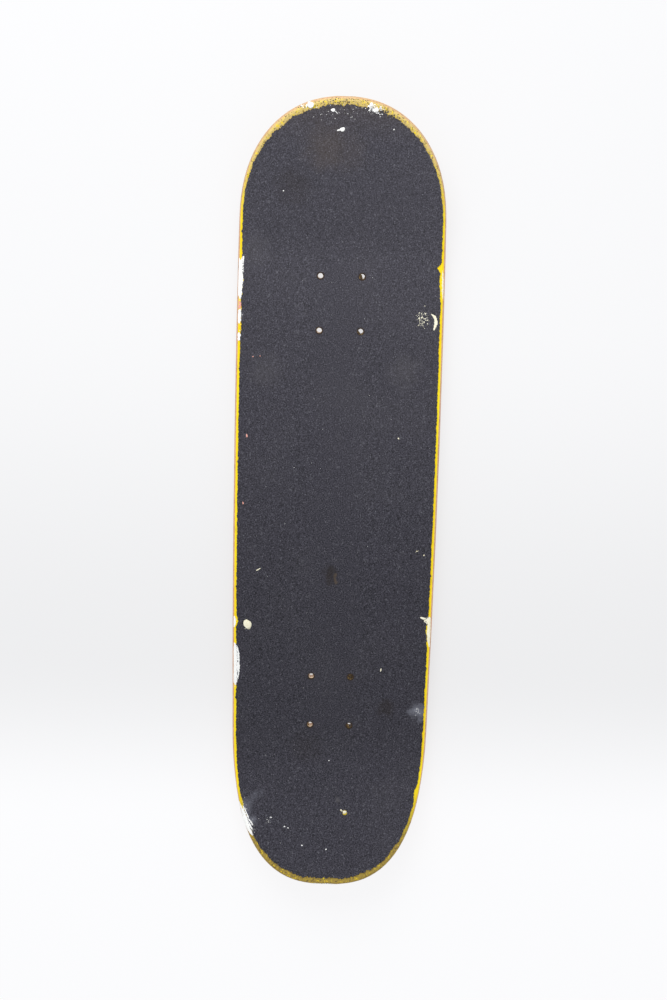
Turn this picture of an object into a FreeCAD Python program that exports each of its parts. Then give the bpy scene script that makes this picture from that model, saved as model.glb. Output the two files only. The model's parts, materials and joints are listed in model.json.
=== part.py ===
"""A seven-ply skateboard deck with its sheet of grip tape, as one STEP file for each physical layer.

Frame, in millimetres: +X runs to the nose, +Y to the left rail and +Z up through the riding face. The origin
lies midway between the nose and tail tips, on the centre line, at the lowest point of the underside, where
the deck rests on a floor.

The deck is described as it is made. Flat veneers are pressed into one curved form, the blank is cut to its
outline square to its own surface, the edge is rounded over, and the truck holes are drilled straight down.
A place on the form is given by s, the distance along the centre line from the middle of the wheelbase, by t,
the distance across, and by the depth below the riding face.
"""
import FreeCAD
import Part
import math
import os
from FreeCAD import Vector

# Truck bolt pattern, in the sizes that every truck maker uses.
HOLE_PITCH_ALONG = 53.975
HOLE_PITCH_ACROSS = 41.275
WHEELBASE = 361.95  # between the two inner rows of holes
BOLT_HOLE_DIAMETER = 5.4

# Outline before rounding, measured along the riding face. The underside comes out a little wider and longer.
WIDTH = 204.6
NOSE_REACH = 174.7  # from the outer holes to the tip
TAIL_REACH = 167.1
NOSE_CURVE = 124.8  # length of the rounded end
TAIL_CURVE = 174.8
NOSE_FULLNESS = 2.2  # power of the rounded end: 2 is an ellipse, more is squarer
TAIL_FULLNESS = 2.6
NOSE_NARROWING = 2.3  # how much each rail has come in where the rounded end begins
TAIL_NARROWING = 1.4

# Press form, on the riding face.
KICK_ANGLE = math.radians(20.0)
KICK_RADIUS = 78.0
KICK_START = 13.5  # from the outer holes to the start of the bend
CONCAVE = 9.7  # height of the rails above the middle
FLAT_CENTRE = 46.0  # width of the level strip that the trucks sit on
KICK_CONCAVE_SHARE = 0.5  # how much of the concave is left at the tips
CONCAVE_FADE = 70.0  # distance over which it fades, from the start of the bend

# Veneers, from the riding face down.
FACE_VENEER = 1.5
CROSS_VENEER = 1.6
CORE_VENEER = 1.55
PLIES = (
    ("top_veneer", FACE_VENEER),
    ("upper_crossband", CROSS_VENEER),
    ("upper_core", CORE_VENEER),
    ("centre_core", CORE_VENEER),
    ("lower_core", CORE_VENEER),
    ("lower_crossband", CROSS_VENEER),
    ("bottom_veneer", FACE_VENEER),
)

# Rounded edge: an arc at each face and a straight land between them.
EDGE_RADIUS = 4.0
EDGE_ARC_SHARE = 0.85  # how deep the arc reaches, as a share of its radius
EDGE_STRIPS = 2  # strips of edge on each veneer

# Grip tape.
GRIP_THICKNESS = 0.85
GRIP_INSET = 2.3  # bare rim along the rails
GRIP_NOSE_INSET = 5.6
GRIP_TAIL_INSET = 6.2
GRIP_HOLE_DIAMETER = 6.0

# How finely the form and the outline are sampled.
RAIL_STEP = 8.0
END_STEPS = 24  # turns of a rounded end; the last one is its blunt tip
LANES = 22
DEGREE = 3
SLOPE_STEP = 0.01

THICKNESS = sum(thickness for _, thickness in PLIES)
OUTER_HOLE = WHEELBASE / 2 + HOLE_PITCH_ALONG
BEND_START = OUTER_HOLE + KICK_START
BEND_LENGTH = KICK_RADIUS * KICK_ANGLE
NOSE_TIP = OUTER_HOLE + NOSE_REACH
TAIL_TIP = OUTER_HOLE + TAIL_REACH
EDGE_ARC_DEPTH = EDGE_RADIUS * EDGE_ARC_SHARE


def smooth(share):
    """An ease from 0 to 1 with level ends."""
    share = min(max(share, 0.0), 1.0)
    return share * share * (3 - 2 * share)


def centre_line(s):
    """Place and slope of the riding face's centre line: x, z and the angle that it has turned."""
    side = 1 if s >= 0 else -1
    past = max(abs(s) - BEND_START, 0.0)
    turn = min(past / KICK_RADIUS, KICK_ANGLE)
    kick = max(past - BEND_LENGTH, 0.0)
    x = min(abs(s), BEND_START) + KICK_RADIUS * math.sin(turn) + kick * math.cos(turn)
    z = KICK_RADIUS * (1 - math.cos(turn)) + kick * math.sin(turn)
    return side * x, z, side * turn


# The tips stand equally far from the origin.
MIDDLE = (centre_line(NOSE_TIP)[0] + centre_line(-TAIL_TIP)[0]) / 2


def concave_lift(s, t):
    """How far the form rises above its centre line at a place."""
    rise = max(abs(t) - FLAT_CENTRE / 2, 0.0) / (WIDTH / 2 - FLAT_CENTRE / 2)
    fade = smooth((abs(s) - BEND_START) / CONCAVE_FADE)
    return CONCAVE * rise * rise * (1 - fade * (1 - KICK_CONCAVE_SHARE))


def face_point(s, t):
    """A point of the riding face."""
    x, z, slope = centre_line(s)
    lift = concave_lift(s, t)
    return Vector(x - MIDDLE - lift * math.sin(slope), t, z + THICKNESS + lift * math.cos(slope))


def form_point(s, t, depth):
    """The point that far below the riding face, square to it."""
    along = face_point(s + SLOPE_STEP, t) - face_point(s - SLOPE_STEP, t)
    across = face_point(s, t + SLOPE_STEP) - face_point(s, t - SLOPE_STEP)
    normal = along.cross(across).normalize()
    return face_point(s, t) - normal * depth


def spaced(first, last, step):
    """Evenly spaced values from first to last, at most a step apart."""
    count = math.ceil((last - first) / step)
    return [first + (last - first) * i / count for i in range(count + 1)]


def rounded_end(tip, curve, fullness, narrowing):
    """Points of the left edge of a rounded end, from where it begins to just beside its tip."""
    half_width = WIDTH / 2 - narrowing
    turns = [math.pi / 2 * i / END_STEPS for i in range(END_STEPS)]
    return [
        (tip - curve + curve * math.sin(a) ** (2 / fullness), half_width * math.cos(a) ** (2 / fullness))
        for a in turns
    ]


def rail(length, narrowing):
    """Points of the left rail, from the middle up to where the rounded end begins."""
    stations = spaced(0.0, length, RAIL_STEP)[:-1]
    return [(s, WIDTH / 2 - narrowing * (s / length) ** 2) for s in stations]


def left_edge():
    """The left half of the outline, from the tail to the nose."""
    nose = rail(NOSE_TIP - NOSE_CURVE, NOSE_NARROWING)
    nose += rounded_end(NOSE_TIP, NOSE_CURVE, NOSE_FULLNESS, NOSE_NARROWING)
    tail = rail(TAIL_TIP - TAIL_CURVE, TAIL_NARROWING)
    tail += rounded_end(TAIL_TIP, TAIL_CURVE, TAIL_FULLNESS, TAIL_NARROWING)
    return [(-s, t) for s, t in reversed(tail[1:])] + nose


def moved_in(points, amount):
    """The left edge moved inwards, square to itself, by amount(s) at each of its points."""
    mirrored_ends = [(points[0][0], -points[0][1])] + points + [(points[-1][0], -points[-1][1])]
    moved = []
    for before, (s, t), after in zip(mirrored_ends, points, mirrored_ends[2:]):
        along_s, along_t = after[0] - before[0], after[1] - before[1]
        shift = amount(s) / math.hypot(along_s, along_t)
        moved.append((s + along_t * shift, t - along_s * shift))
    return moved


def smooth_surface(poles):
    """The cubic surface led by a grid of points, which meets its corners and stays flat where they are."""
    mults, knots = [], []
    for count in (len(poles), len(poles[0])):
        spans = count - DEGREE
        mults.append([DEGREE + 1] + [1] * (spans - 1) + [DEGREE + 1])
        knots.append([float(i) for i in range(spans + 1)])
    surface = Part.BSplineSurface()
    surface.buildFromPolesMultsKnots(poles, *mults, *knots, False, False, DEGREE, DEGREE)
    return surface


def layer_face(depth, edge):
    """The pressed surface at one depth, from edge to edge of the deck."""
    shares = [2 * i / LANES - 1 for i in range(LANES + 1)]
    return smooth_surface([[form_point(s, t * share, depth) for share in shares] for s, t in edge]).toShape()


def rounding(depth):
    """How far the rounded edge has cut in at a depth below the riding face."""
    into_arc = max(EDGE_ARC_DEPTH - min(depth, THICKNESS - depth), 0.0)
    return EDGE_RADIUS - math.sqrt(EDGE_RADIUS**2 - into_arc**2)


def grip_inset(s):
    """Width of the bare rim beside the grip tape at a place along the deck."""
    if s >= 0:
        reach, start, end = NOSE_TIP, NOSE_TIP - NOSE_CURVE, GRIP_NOSE_INSET
    else:
        reach, start, end = TAIL_TIP, TAIL_TIP - TAIL_CURVE, GRIP_TAIL_INSET
    share = max(abs(s) - start, 0.0) / (reach - start)
    return GRIP_INSET + (end - GRIP_INSET) * share**3


def layer(levels):
    """The solid between the first and the last of a stack of faces, its edge led through the others."""
    shell_faces = [levels[0], levels[-1]]
    for upper, lower in zip(levels, levels[1:]):
        shell_faces += [Part.makeRuledSurface(a, b) for a, b in zip(upper.Edges, lower.Edges)]
    shell = Part.makeShell(shell_faces)
    shell.sewShape()
    solid = Part.makeSolid(shell)
    if solid.Volume < 0:
        solid.reverse()
    return solid


def drill(diameter):
    """The eight truck holes as one shape, straight down through the deck."""
    bits = []
    for s in (-OUTER_HOLE, -WHEELBASE / 2, WHEELBASE / 2, OUTER_HOLE):
        for t in (-HOLE_PITCH_ACROSS / 2, HOLE_PITCH_ACROSS / 2):
            foot = Vector(s - MIDDLE, t, -THICKNESS)
            bits.append(Part.makeCylinder(diameter / 2, 3 * THICKNESS, foot))
    return Part.makeCompound(bits)


def save(name, solid):
    """Writes one layer, after checking that it is one sound solid."""
    if len(solid.Solids) != 1 or not solid.isValid():
        raise ValueError(name + " isn't one sound solid")
    solid.Solids[0].exportStep("parts/" + name + ".step")
    print(name, round(solid.Volume / 1000, 2), "cm3")


def wood_face(depth):
    """The face of the wood at one depth, inside the rounded edge."""
    back = rounding(depth)
    return layer_face(depth, moved_in(left_edge(), lambda s: back))


def make_plies():
    """The seven veneers, glued face to face: neighbours share one surface."""
    bolts = drill(BOLT_HOLE_DIAMETER)
    depth = 0.0
    top = wood_face(depth)
    for name, thickness in PLIES:
        between = [wood_face(depth + thickness * i / EDGE_STRIPS) for i in range(1, EDGE_STRIPS)]
        depth += thickness
        bottom = wood_face(depth)
        save(name, layer([top] + between + [bottom]).cut(bolts))
        top = bottom


def make_grip():
    """The sheet of grip tape, stuck to the riding face and trimmed a little inside its edge."""
    border = moved_in(left_edge(), grip_inset)
    faces = [layer_face(depth, border) for depth in (-GRIP_THICKNESS, 0.0)]
    save("grip_tape", layer(faces).cut(drill(GRIP_HOLE_DIAMETER)))


def main():
    os.makedirs("parts", exist_ok=True)
    make_plies()
    make_grip()


main()
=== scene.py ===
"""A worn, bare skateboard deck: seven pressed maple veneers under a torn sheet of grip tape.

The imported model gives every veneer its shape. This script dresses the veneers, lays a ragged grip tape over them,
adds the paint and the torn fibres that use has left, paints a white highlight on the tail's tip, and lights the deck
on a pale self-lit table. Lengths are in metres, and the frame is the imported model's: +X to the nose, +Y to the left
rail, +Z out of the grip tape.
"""
import json
import logging
import math
import random
from dataclasses import dataclass, field
from enum import Enum

import bpy
import numpy as np
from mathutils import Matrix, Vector, noise
from mathutils.bvhtree import BVHTree
from mathutils.geometry import convex_hull_2d, delaunay_2d_cdt


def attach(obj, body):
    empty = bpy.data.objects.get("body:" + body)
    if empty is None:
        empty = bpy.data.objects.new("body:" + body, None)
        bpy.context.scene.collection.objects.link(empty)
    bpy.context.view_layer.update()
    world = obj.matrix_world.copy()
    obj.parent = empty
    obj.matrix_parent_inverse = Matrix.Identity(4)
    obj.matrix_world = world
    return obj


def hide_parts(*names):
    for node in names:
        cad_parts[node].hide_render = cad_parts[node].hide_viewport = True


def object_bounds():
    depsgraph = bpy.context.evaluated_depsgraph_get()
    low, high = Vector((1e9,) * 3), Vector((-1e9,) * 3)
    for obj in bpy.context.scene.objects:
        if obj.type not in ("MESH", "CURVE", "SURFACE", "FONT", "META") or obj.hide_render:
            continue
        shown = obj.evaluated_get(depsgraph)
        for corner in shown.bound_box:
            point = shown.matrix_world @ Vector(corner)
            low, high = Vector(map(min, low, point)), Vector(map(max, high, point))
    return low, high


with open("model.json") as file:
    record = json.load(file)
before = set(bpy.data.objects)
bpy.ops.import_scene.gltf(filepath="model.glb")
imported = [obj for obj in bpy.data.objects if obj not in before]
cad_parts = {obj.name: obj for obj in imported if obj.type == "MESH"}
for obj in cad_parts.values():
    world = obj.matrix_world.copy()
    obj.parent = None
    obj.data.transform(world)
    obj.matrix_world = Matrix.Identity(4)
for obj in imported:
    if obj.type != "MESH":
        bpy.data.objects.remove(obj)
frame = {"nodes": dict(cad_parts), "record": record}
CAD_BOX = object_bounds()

log = logging.getLogger("deck")

MM = 0.001
BODY = "root"
SKY_HEIGHT = 0.5  # where the plumb lines that find the surface start
FLAT = (1.0, 1.0, 0.0)
SHARP_ANGLE = math.radians(40.0)
Colour = tuple[float, float, float]
Socket = bpy.types.NodeSocket


class Grain(Enum):
    """Which way a veneer's grain runs."""

    ALONG = (0.05, 1.0, 1.0)
    ACROSS = (1.0, 0.05, 1.0)


class NodeBench:
    """A short way to build a tree of nodes."""

    def __init__(self, tree: bpy.types.NodeTree) -> None:
        """Takes over a tree and empties it."""
        self.tree = tree
        self.tree.nodes.clear()

    def add(self, kind: str, settings: dict | None = None, **inputs: object) -> bpy.types.Node:
        """Adds a node.

        Args:
            kind: The node's type name.
            settings: Its own options by name.
            inputs: Values or sockets for its inputs, by name with underscores for spaces, or i0, i1 by place.

        Returns:
            The new node.
        """
        node = self.tree.nodes.new(kind)
        for name, value in (settings or {}).items():
            setattr(node, name, value)
        for name, value in inputs.items():
            by_place = name[0] == "i" and name[1:].isdigit()
            socket = node.inputs[int(name[1:])] if by_place else node.inputs[name.replace("_", " ")]
            if isinstance(value, Socket):
                self.tree.links.new(value, socket)
            else:
                socket.default_value = value
        return node

    def noise(self, place: Socket, scale: float, detail: float, roughness: float) -> Socket:
        """The value of a noise pattern at a place."""
        return self.add("ShaderNodeTexNoise", Vector=place, Scale=scale, Detail=detail, Roughness=roughness).outputs[0]

    def ramp(self, value: Socket, low: float, high: float, start: float = 0.0, end: float = 1.0) -> Socket:
        """Carries a value from one range to another, eased and held at the ends.

        Args:
            value: The value.
            low: Where the first range starts.
            high: Where the first range ends.
            start: What low becomes.
            end: What high becomes.

        Returns:
            The carried value.
        """
        ends = {"From_Min": low, "From_Max": high, "To_Min": start, "To_Max": end}
        node = self.add("ShaderNodeMapRange", {"interpolation_type": "SMOOTHSTEP"}, Value=value, **ends)
        return node.outputs["Result"]

    def math(self, operation: str, first: object, second: object = 0.0) -> Socket:
        """One sum on numbers or sockets."""
        return self.add("ShaderNodeMath", {"operation": operation}, i0=first, i1=second).outputs[0]

    def vector(self, operation: str, first: object, second: object) -> Socket:
        """One sum on vectors."""
        return self.add("ShaderNodeVectorMath", {"operation": operation}, i0=first, i1=second).outputs[0]

    def along(self, place: Socket) -> Socket:
        """How far along the deck a place is from its middle."""
        return self.add("ShaderNodeSeparateXYZ", Vector=place).outputs["X"]

    def away(self, place: Socket, x: float, y: float) -> Socket:
        """How far a place is from an upright line through x, y."""
        flat = self.vector("MULTIPLY", place, FLAT)
        return self.add("ShaderNodeVectorMath", {"operation": "DISTANCE"}, i0=flat, i1=(x, y, 0.0)).outputs["Value"]

    def blend(self, share: object, first: object, second: object) -> Socket:
        """Lays one colour over another.

        Args:
            share: How much of the second colour shows.
            first: The colour below.
            second: The colour above.

        Returns:
            The mixed colour.
        """
        below, above = ((*colour, 1.0) if isinstance(colour, tuple) else colour for colour in (first, second))
        return self.add("ShaderNodeMix", {"data_type": "RGBA"}, i0=share, i6=below, i7=above).outputs[2]

    def coat(self, shader: bpy.types.Node, colour: Socket, height: Socket, strength: float, depth: float) -> None:
        """Gives a shader its colour and its bump.

        Args:
            shader: The shader.
            colour: The colour.
            height: The pattern that the bump follows.
            strength: How strong the bump is.
            depth: How deep it is, in metres.
        """
        self.tree.links.new(colour, shader.inputs["Base Color"])
        bump = self.add("ShaderNodeBump", Height=height, Strength=strength, Distance=depth)
        self.tree.links.new(bump.outputs[0], shader.inputs["Normal"])


def new_material(name: str) -> tuple[bpy.types.Material, NodeBench, bpy.types.Node, Socket]:
    """Starts a material.

    Args:
        name: The finish's name.

    Returns:
        The material, its bench, its surface shader and the object's coordinates.
    """
    material = bpy.data.materials.new(name)
    material.use_nodes = True
    bench = NodeBench(material.node_tree)
    shader = bench.add("ShaderNodeBsdfPrincipled")
    bench.add("ShaderNodeOutputMaterial", Surface=shader.outputs[0])
    return material, bench, shader, bench.add("ShaderNodeTexCoord").outputs["Object"]


def bolt_patterns() -> list[dict]:
    """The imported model's two bolt patterns."""
    return [mount for mount in frame["record"]["mounts"] if mount["kind"] == "bolt_pattern"]


def bolt_places() -> list[tuple[float, float]]:
    """Where the bolt holes are.

    Returns:
        Their middles in metres, four to a pattern.
    """
    places = []
    for mount in bolt_patterns():
        x = mount["pos_m"][0]
        half_x, half_y = (mount["dims"][f"spacing_{axis}_mm"] / 2 * MM for axis in "xy")
        places += [(x + a * half_x, b * half_y) for a in (-1, 1) for b in (-1, 1)]
    return places


@dataclass(frozen=True)
class Mark:
    """A patch on the deck.

    Attributes:
        x: Place along the deck, in millimetres.
        y: Place across the deck.
        reach: How far it spreads.
        strength: How strongly it covers.
    """

    x: float
    y: float
    reach: float
    strength: float = 1.0


@dataclass(frozen=True)
class GripFinish:
    """Black abrasive grit on a paper backing, scuffed pale where shoes have rubbed it."""

    pit: Colour = (0.014, 0.014, 0.018)
    grit: Colour = (0.062, 0.059, 0.077)
    glint: Colour = (0.22, 0.22, 0.25)
    # pale scuffs; the same colour also paints light over the grip towards the nose
    dust_and_light: Colour = (0.105, 0.100, 0.108)
    stain: Colour = (0.022, 0.016, 0.012)
    tan: Colour = (0.105, 0.078, 0.055)
    hole_ring: Colour = (0.030, 0.017, 0.010)
    haze: Colour = (0.30, 0.31, 0.37)
    stir_scale: float = 90.0
    stir_reach: float = 0.022
    solid_part: float = 0.15  # the share of a mark's reach that it covers fully
    ring_outside: float = 4.6 * MM
    ring_inside: float = 3.3 * MM
    bump_depth: float = 0.4 * MM
    dark_spots: tuple[Mark, ...] = (
        Mark(-73.0, 4.0, 13, 0.6),
        Mark(-217.5, -58.1, 14, 0.45),
        Mark(-262.0, 24.0, 26, 0.2),
        Mark(318.0, 48.0, 24, 0.25),
    )
    pale_spots: tuple[Mark, ...] = (
        Mark(136.5, 73.9, 24, 0.22),
        Mark(140.1, -66.2, 24, 0.22),
        Mark(-315.6, -11.2, 6, 0.6),
        Mark(383.9, 7.1, 4, 0.6),
        Mark(256.0, 88.0, 26, 0.2),
    )
    brown_spots: tuple[Mark, ...] = (
        Mark(353.0, 17.0, 30, 0.24),
        Mark(349.0, -4.0, 26, 0.12),
        Mark(-77.5, -4.0, 4, 0.8),
    )
    haze_spots: tuple[Mark, ...] = (
        Mark(-216.5, -92.5, 12, 0.45),
        Mark(-219.0, -86.5, 9, 0.28),
        Mark(-313.0, 80.0, 8, 0.12),
        Mark(-309.0, 71.0, 7, 0.08),
        Mark(-322.0, 87.0, 12, 0.3),
        Mark(-337.0, 82.0, 11, 0.3),
    )

    def spots(self, bench: NodeBench, place: Socket, marks: tuple[Mark, ...]) -> Socket:
        """How strongly any of the marks covers a place.

        Args:
            bench: The bench to build on.
            place: The object's coordinates, already stirred so that marks have uneven borders.
            marks: The marks.

        Returns:
            A socket from 0 to 1.
        """
        total: object = 0.0
        for mark in marks:
            reach = mark.reach * MM
            away = bench.away(place, mark.x * MM, mark.y * MM)
            cover = bench.ramp(away, reach, reach * self.solid_part, 0.0, mark.strength)
            total = bench.math("MAXIMUM", total, cover)
        return total

    def stirred(self, bench: NodeBench, place: Socket) -> Socket:
        """The object's coordinates, shifted a little by noise.

        Args:
            bench: The bench to build on.
            place: The object's coordinates.

        Returns:
            The shifted coordinates.
        """
        stir = bench.add("ShaderNodeTexNoise", Vector=place, Scale=self.stir_scale, Detail=4.0)
        shift = bench.add("ShaderNodeVectorMath", {"operation": "SCALE"}, i0=stir.outputs["Color"])
        shift.inputs["Scale"].default_value = self.stir_reach
        return bench.vector("SUBTRACT", bench.vector("ADD", place, shift.outputs[0]), (self.stir_reach / 2,) * 3)

    def painted_light_falloff(self, bench: NodeBench, along: Socket, colour: Socket) -> Socket:
        """The colour with painted light falloff: darker towards the middle of the tail's half and lighter towards the
        nose.

        Args:
            bench: The bench to build on.
            along: The distance along the deck.
            colour: The colour to shade.

        Returns:
            The shaded colour.
        """
        # painted shade and light: the scale falls to 0.84 over the tail's half, and rises at the nose and a little on
        # the tail's kick
        light_falloff = bench.math("ADD", bench.ramp(along, -0.16, 0.12, 0.84, 1.0), bench.ramp(along, 0.12, 0.33, 0.0, 0.2))
        light_falloff = bench.math("ADD", light_falloff, bench.ramp(along, -0.24, -0.33, 0.0, 0.12))
        painted_light_falloff = bench.add("ShaderNodeVectorMath", {"operation": "SCALE"}, i0=colour)
        bench.tree.links.new(light_falloff, painted_light_falloff.inputs["Scale"])
        return painted_light_falloff.outputs[0]

    def build(self) -> bpy.types.Material:
        """Makes the material.

        Returns:
            The material.
        """
        material, bench, shader, place = new_material("grip_grit")
        centred = self.stirred(bench, place)
        fine = bench.noise(place, 860.0, 2.0, 0.7)
        coarse = bench.noise(place, 300.0, 2.0, 0.6)
        cloud = bench.noise(place, 14.0, 5.0, 0.6)
        worn = bench.noise(place, 45.0, 6.0, 0.7)
        along = bench.along(place)
        colour = bench.blend(bench.ramp(fine, 0.33, 0.62), self.pit, self.grit)
        for pattern, low, high, share, over in (
            (fine, 0.60, 0.76, 0.8, self.glint),
            (coarse, 0.60, 0.74, 0.25, self.glint),
            (cloud, 0.45, 0.8, 0.10, self.dust_and_light),
            (worn, 0.58, 0.8, 0.22, self.dust_and_light),
            # painted light: this row makes the grip paler towards the nose, as a lamp's falloff would; the other rows
            # of this colour are real scuffs
            (along, -0.10, 0.30, 0.12, self.dust_and_light),
            (along, 0.35, 0.41, 0.22, self.tan),
        ):
            colour = bench.blend(bench.ramp(pattern, low, high, 0.0, share), colour, over)
        for marks, over in ((self.brown_spots, self.tan), (self.dark_spots, self.stain), (self.pale_spots, self.dust_and_light)):
            colour = bench.blend(self.spots(bench, centred, marks), colour, over)
        # painted light falloff along the whole grip, as if lit from the nose
        colour = self.painted_light_falloff(bench, along, colour)
        colour = bench.blend(self.spots(bench, centred, self.haze_spots), colour, self.haze)
        for x, y in bolt_places():
            ring = bench.ramp(bench.away(place, x, y), self.ring_outside, self.ring_inside, 0.0, 0.9)
            colour = bench.blend(ring, colour, self.hole_ring)
        shader.inputs["Roughness"].default_value = 0.88
        shader.inputs["Specular IOR Level"].default_value = 0.25
        height = bench.math("ADD", fine, bench.math("MULTIPLY", coarse, 1.5))
        bench.coat(shader, colour, height, 0.55, self.bump_depth)
        return material


@dataclass(frozen=True)
class VeneerFinish:
    """One maple veneer, dyed or plain, with its grain, grime in the pores and browner ends.

    Attributes:
        name: The veneer's node.
        light: The colour between the growth lines.
        dark: The colour of the growth lines.
        grain: Which way the grain runs.
        dirt: How far grime covers the wood.
        brown_ends: How far the nose and the tail have browned.
    """

    name: str
    light: Colour
    dark: Colour
    grain: Grain
    dirt: float = 0.35
    brown_ends: float = 0.0
    grime: Colour = (0.09, 0.055, 0.03)
    bleached: Colour = (0.66, 0.50, 0.20)
    browned: Colour = (0.29, 0.20, 0.05)
    raw_wall: Colour = (0.92, 0.80, 0.68)
    dirty_wall: Colour = (0.05, 0.03, 0.018)
    wall_outside: float = 3.4 * MM
    wall_inside: float = 2.8 * MM
    bump_depth: float = 0.2 * MM

    def weathered(self, bench: NodeBench, place: Socket, colour: Socket) -> Socket:
        """The wood with its ends bleached, browned and specked.

        Args:
            bench: The bench to build on.
            place: The object's coordinates.
            colour: The wood's colour.

        Returns:
            The colour with the wear over it.
        """
        along = bench.along(place)
        nose = bench.math("MULTIPLY", bench.ramp(along, 0.27, 0.35), self.brown_ends)
        tail = bench.math("MULTIPLY", bench.ramp(along, -0.29, -0.36), self.brown_ends)
        mottle = bench.noise(place, 420.0, 4.0, 0.7)
        specks = bench.ramp(bench.noise(place, 440.0, 4.0, 0.75), 0.53, 0.61, 0.0, 0.85)
        for end, pattern, over in (
            (nose, bench.ramp(mottle, 0.36, 0.48), self.bleached),
            (tail, bench.ramp(mottle, 0.30, 0.47), self.browned),
            (bench.math("MAXIMUM", nose, tail), specks, self.grime),
        ):
            colour = bench.blend(bench.math("MULTIPLY", end, pattern), colour, over)
        return colour

    def build(self) -> bpy.types.Material:
        """Makes the material.

        Returns:
            The material.
        """
        material, bench, shader, place = new_material(self.name + "_maple")
        stretched = bench.vector("MULTIPLY", place, self.grain.value)
        lines = bench.noise(stretched, 260.0, 5.0, 0.65)
        pores = bench.noise(stretched, 1500.0, 2.0, 0.6)
        blotch = bench.noise(place, 60.0, 5.0, 0.65)
        colour = bench.blend(bench.ramp(lines, 0.35, 0.68), self.light, self.dark)
        colour = bench.blend(bench.ramp(pores, 0.60, 0.8, 0.0, 0.4), colour, self.grime)
        colour = bench.blend(bench.ramp(blotch, 0.56, 0.74, 0.0, self.dirt), colour, self.grime)
        if self.brown_ends:
            colour = self.weathered(bench, place, colour)
        for x, y in bolt_places():
            wall = bench.ramp(bench.away(place, x, y), self.wall_outside, self.wall_inside, 0.0, 0.85)
            colour = bench.blend(wall, colour, self.raw_wall if y > 0 else self.dirty_wall)
        bench.tree.links.new(bench.ramp(blotch, 0.3, 0.8, 0.42, 0.75), shader.inputs["Roughness"])
        shader.inputs["Specular IOR Level"].default_value = 0.2
        bench.coat(shader, colour, bench.math("ADD", lines, pores), 0.35, self.bump_depth)
        return material


@dataclass(frozen=True)
class UndersideFinish:
    """The bottom veneer: lacquered maple with slide scratches and the pale prints of two baseplates."""

    wood: Colour = (0.60, 0.38, 0.19)
    line: Colour = (0.45, 0.26, 0.12)
    raw: Colour = (0.72, 0.55, 0.35)
    grime: Colour = (0.10, 0.07, 0.045)
    plate_length: float = 0.083
    plate_width: float = 0.056
    print_blur: float = 6 * MM
    print_edge: tuple[float, float] = (5 * MM, MM)
    scratch_stretch: tuple[float, float, float] = (1.0, 0.06, 1.0)
    bump_depth: float = 0.3 * MM

    def plate(self, bench: NodeBench, place: Socket, centre: float) -> Socket:
        """How far a place lies inside a baseplate's print.

        Args:
            bench: The bench to build on.
            place: The object's coordinates.
            centre: Where the print's middle is along the deck.

        Returns:
            A socket from 0 outside to 1 inside.
        """
        parts = bench.add("ShaderNodeSeparateXYZ", Vector=place).outputs
        blur = bench.math("MULTIPLY", bench.noise(place, 160.0, 4.0, 0.7), self.print_blur)
        outer, inner = self.print_edge
        inside = []
        from_centre = bench.math("SUBTRACT", parts["X"], centre)
        for part, size in ((from_centre, self.plate_length), (parts["Y"], self.plate_width)):
            away = bench.math("ADD", bench.math("ABSOLUTE", part), blur)
            inside.append(bench.ramp(away, size / 2 + outer, size / 2 + inner))
        return bench.math("MULTIPLY", *inside)

    def build(self) -> bpy.types.Material:
        """Makes the material.

        Returns:
            The material.
        """
        material, bench, shader, place = new_material("underside_maple")
        lines = bench.noise(bench.vector("MULTIPLY", place, Grain.ALONG.value), 220.0, 5.0, 0.6)
        scratches = bench.noise(bench.vector("MULTIPLY", place, self.scratch_stretch), 520.0, 4.0, 0.75)
        colour = bench.blend(bench.ramp(lines, 0.35, 0.68), self.wood, self.line)
        reach = bench.math("ABSOLUTE", bench.along(place))
        slid = bench.math("MAXIMUM", bench.ramp(reach, 0.17, 0.05), bench.ramp(reach, 0.31, 0.38))
        rubbed = bench.math("MULTIPLY", slid, bench.ramp(scratches, 0.47, 0.58))
        colour = bench.blend(bench.math("MULTIPLY", rubbed, 0.85), colour, self.raw)
        colour = bench.blend(bench.ramp(scratches, 0.62, 0.74, 0.0, 0.5), colour, self.grime)
        for mount in bolt_patterns():
            shade = self.plate(bench, place, mount["pos_m"][0])
            rim = bench.math("MULTIPLY", shade, bench.math("SUBTRACT", 1.0, shade))
            colour = bench.blend(bench.math("MULTIPLY", shade, 0.35), colour, self.raw)
            colour = bench.blend(bench.math("MULTIPLY", rim, 2.4), colour, self.grime)
        bench.tree.links.new(bench.ramp(scratches, 0.4, 0.7, 0.3, 0.7), shader.inputs["Roughness"])
        shader.inputs["Coat Weight"].default_value = 0.25
        shader.inputs["Coat Roughness"].default_value = 0.35
        bench.coat(shader, colour, scratches, 0.4, self.bump_depth)
        return material


@dataclass(frozen=True)
class PlainFinish:
    """Paint, torn fibre or paper: one colour broken up by a second.

    Attributes:
        name: The finish's name.
        main: Its colour.
        other: The colour that breaks it up.
        share: How much of the second colour shows.
        grain_scale: How fine the pattern is, in patterns to the metre.
        roughness: How dull it is.
    """

    name: str
    main: Colour
    other: Colour
    share: float
    grain_scale: float
    roughness: float
    bump_depth: float = 0.2 * MM

    def build(self) -> bpy.types.Material:
        """Makes the material.

        Returns:
            The material.
        """
        material, bench, shader, place = new_material(self.name)
        pattern = bench.noise(place, self.grain_scale, 4.0, 0.65)
        colour = bench.blend(bench.ramp(pattern, 0.45, 0.7, 0.0, self.share), self.main, self.other)
        shader.inputs["Roughness"].default_value = self.roughness
        bench.coat(shader, colour, pattern, 0.4, self.bump_depth)
        return material


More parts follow.
